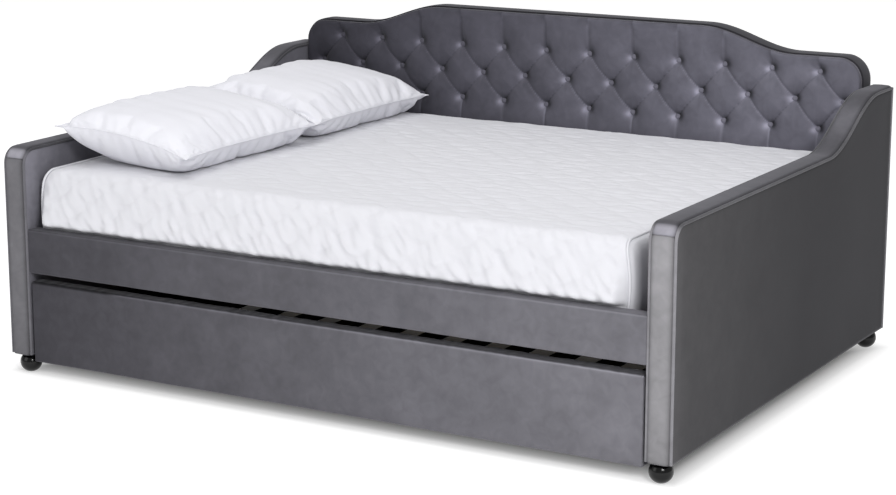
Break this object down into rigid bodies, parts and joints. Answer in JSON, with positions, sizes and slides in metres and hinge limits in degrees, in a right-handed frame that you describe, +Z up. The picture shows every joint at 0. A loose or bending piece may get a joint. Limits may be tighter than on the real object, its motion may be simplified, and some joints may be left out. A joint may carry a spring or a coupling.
{
  "type": "trundle bed",
  "caption": "Velvet upholstered daybed with a tufted back and padded arms; a low trundle on casters rolls out from under the front rail.",
  "frame": {"origin": "on the floor under the middle of the bed's outer box", "axes": "+X along the bed's length towards its right arm seen from the front, -Y towards the open front where the trundle rolls out, +Z up"},
  "size_m": [2.274, 1.665, 1.025],
  "materials": {
    "velvet": "short pile grey velvet over foam",
    "plywood": "raw plywood",
    "pine": "planed pine",
    "zinc_steel": "zinc plated",
    "black_lacquer": "glossy black lacquer",
    "caster_plastic": "moulded, satin",
    "quilted_cotton": "quilted white knit",
    "pillow_cotton": "smooth woven white cotton"
  },
  "bodies": {
    "daybed": {"back_core": "plywood", "back_rear_cover": "velvet", "beam_leg_1": "caster_plastic", "beam_leg_2": "caster_plastic", "beam_leg_3": "caster_plastic", "front_ledger": "pine", "front_left_bracket": "zinc_steel", "front_left_foot": "black_lacquer", "front_pillow": "pillow_cotton", "front_rail_core": "plywood", "front_rail_cover": "velvet", "front_right_bracket": "zinc_steel", "front_right_foot": "black_lacquer", "left_arm_core": "plywood", "left_arm_cover": "velvet", "mattress": "quilted_cotton", "rear_ledger": "pine", "rear_left_bracket": "zinc_steel", "rear_left_foot": "black_lacquer", "rear_pillow": "pillow_cotton", "rear_rail": "pine", "rear_right_bracket": "zinc_steel", "rear_right_foot": "black_lacquer", "right_arm_core": "plywood", "right_arm_cover": "velvet", "slat_01": "pine", "slat_02": "pine", "slat_03": "pine", "slat_04": "pine", "slat_05": "pine", "slat_06": "pine", "slat_07": "pine", "slat_08": "pine", "slat_09": "pine", "slat_10": "pine", "slat_11": "pine", "slat_12": "pine", "slat_13": "pine", "slat_14": "pine", "support_beam": "pine", "tufted_back_pad": "velvet"},
    "trundle": {"front_left_caster_fork": "zinc_steel", "front_right_caster_fork": "zinc_steel", "left_caster_rail": "pine", "rear_left_caster_fork": "zinc_steel", "rear_right_caster_fork": "zinc_steel", "right_caster_rail": "pine", "trundle_front_core": "plywood", "trundle_front_cover": "velvet", "trundle_front_ledger": "pine", "trundle_left_board": "pine", "trundle_rear_board": "pine", "trundle_rear_ledger": "pine", "trundle_right_board": "pine", "trundle_slat_roll": "pine"},
    "front_left_caster_wheel": {"front_left_wheel": "caster_plastic"},
    "front_right_caster_wheel": {"front_right_wheel": "caster_plastic"},
    "rear_left_caster_wheel": {"rear_left_wheel": "caster_plastic"},
    "rear_right_caster_wheel": {"rear_right_wheel": "caster_plastic"}
  },
  "joints": [
    {"name": "trundle_slide", "type": "slide", "parent": "daybed", "child": "trundle", "axis": [0, -1, 0], "range_m": [0, 1.05]},
    {"name": "front_left_wheel_spin", "type": "hinge", "parent": "trundle", "child": "front_left_caster_wheel", "pos_m": [-0.9307, -0.6995, 0.025], "axis": [1, 0, 0], "continuous": true},
    {"name": "front_right_wheel_spin", "type": "hinge", "parent": "trundle", "child": "front_right_caster_wheel", "pos_m": [0.9307, -0.6995, 0.025], "axis": [1, 0, 0], "continuous": true},
    {"name": "rear_left_wheel_spin", "type": "hinge", "parent": "trundle", "child": "rear_left_caster_wheel", "pos_m": [-0.9307, 0.0895, 0.025], "axis": [1, 0, 0], "continuous": true},
    {"name": "rear_right_wheel_spin", "type": "hinge", "parent": "trundle", "child": "rear_right_caster_wheel", "pos_m": [0.9307, 0.0895, 0.025], "axis": [1, 0, 0], "continuous": true}
  ],
  "couplings": [
    {"joint": "front_left_wheel_spin", "follows": "trundle_slide", "rad_per_m": 40},
    {"joint": "front_right_wheel_spin", "follows": "trundle_slide", "rad_per_m": 40},
    {"joint": "rear_left_wheel_spin", "follows": "trundle_slide", "rad_per_m": 40},
    {"joint": "rear_right_wheel_spin", "follows": "trundle_slide", "rad_per_m": 40}
  ]
}
